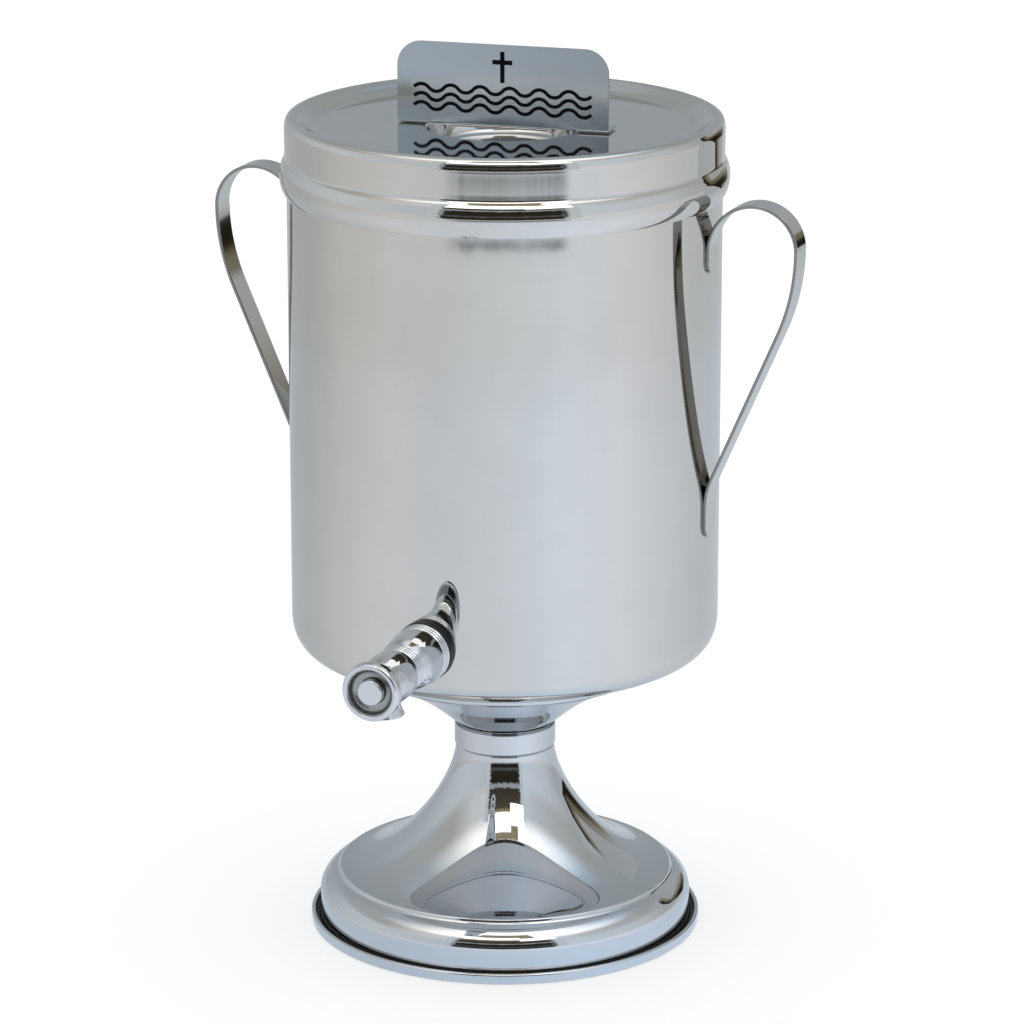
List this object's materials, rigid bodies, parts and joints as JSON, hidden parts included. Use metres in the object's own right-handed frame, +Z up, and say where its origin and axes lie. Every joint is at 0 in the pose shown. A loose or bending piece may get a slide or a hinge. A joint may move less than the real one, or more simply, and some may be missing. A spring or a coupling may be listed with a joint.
{
  "type": "holy water urn",
  "caption": "Polished steel holy water urn on a waisted pedestal, with a slip-over lid that carries a sign plate, two strap handles and a push-button faucet",
  "frame": {"origin": "centre of the foot on the standing surface, on the tank's axis", "axes": "+Z up, -Y the front with the faucet, +X and -X the handles"},
  "size_m": [0.3264, 0.3076, 0.4828],
  "materials": {
    "polished_steel": "mirror-polished stainless sheet",
    "sign_steel": "satin stainless sheet",
    "black_enamel": "gloss enamel filled into the engraving",
    "plated_faucet": "bright plated",
    "dark_dish": "dull machined",
    "black_rubber": "matte",
    "plain_steel": "plain machined",
    "gland_brass": "machined"
  },
  "bodies": {
    "urn": {"tank_body": "polished_steel", "right_handle": "polished_steel", "left_handle": "polished_steel", "pedestal_funnel": "polished_steel", "pedestal_collar": "polished_steel", "pedestal_base": "polished_steel", "foot_ring": "polished_steel", "faucet_flange": "plated_faucet", "faucet_body": "plated_faucet", "faucet_bezel": "plated_faucet", "bezel_dish": "dark_dish", "foot_seal": "black_rubber", "faucet_gasket": "black_rubber", "inner_gasket": "black_rubber", "stem_oring": "black_rubber", "stud_plate": "plain_steel", "tie_stud": "plain_steel", "clamp_plate": "plain_steel", "lock_washer": "plain_steel", "base_nut": "plain_steel", "inner_washer": "plain_steel", "faucet_lock_nut": "plain_steel", "return_spring": "plain_steel", "stem_gland": "gland_brass"},
    "lid": {"lid_shell": "polished_steel", "lid_strap_handle": "polished_steel", "sign_plate": "sign_steel", "sign_inlay": "black_enamel", "sign_rivets": "polished_steel"},
    "button": {"push_button": "plated_faucet", "valve_stem": "plain_steel", "spring_collar": "plain_steel", "valve_disc": "plain_steel", "valve_washer": "black_rubber", "stem_retainer": "plain_steel"}
  },
  "joints": [
    {"name": "lid_lift", "type": "slide", "parent": "urn", "child": "lid", "axis": [0, 0, 1], "range_m": [0, 0.12]},
    {"name": "button_press", "type": "slide", "parent": "urn", "child": "button", "axis": [0, 1, 0], "range_m": [0, 0.004], "stiffness_N_per_m": 900, "springref_m": -0.004, "deforming": ["return_spring"]}
  ]
}
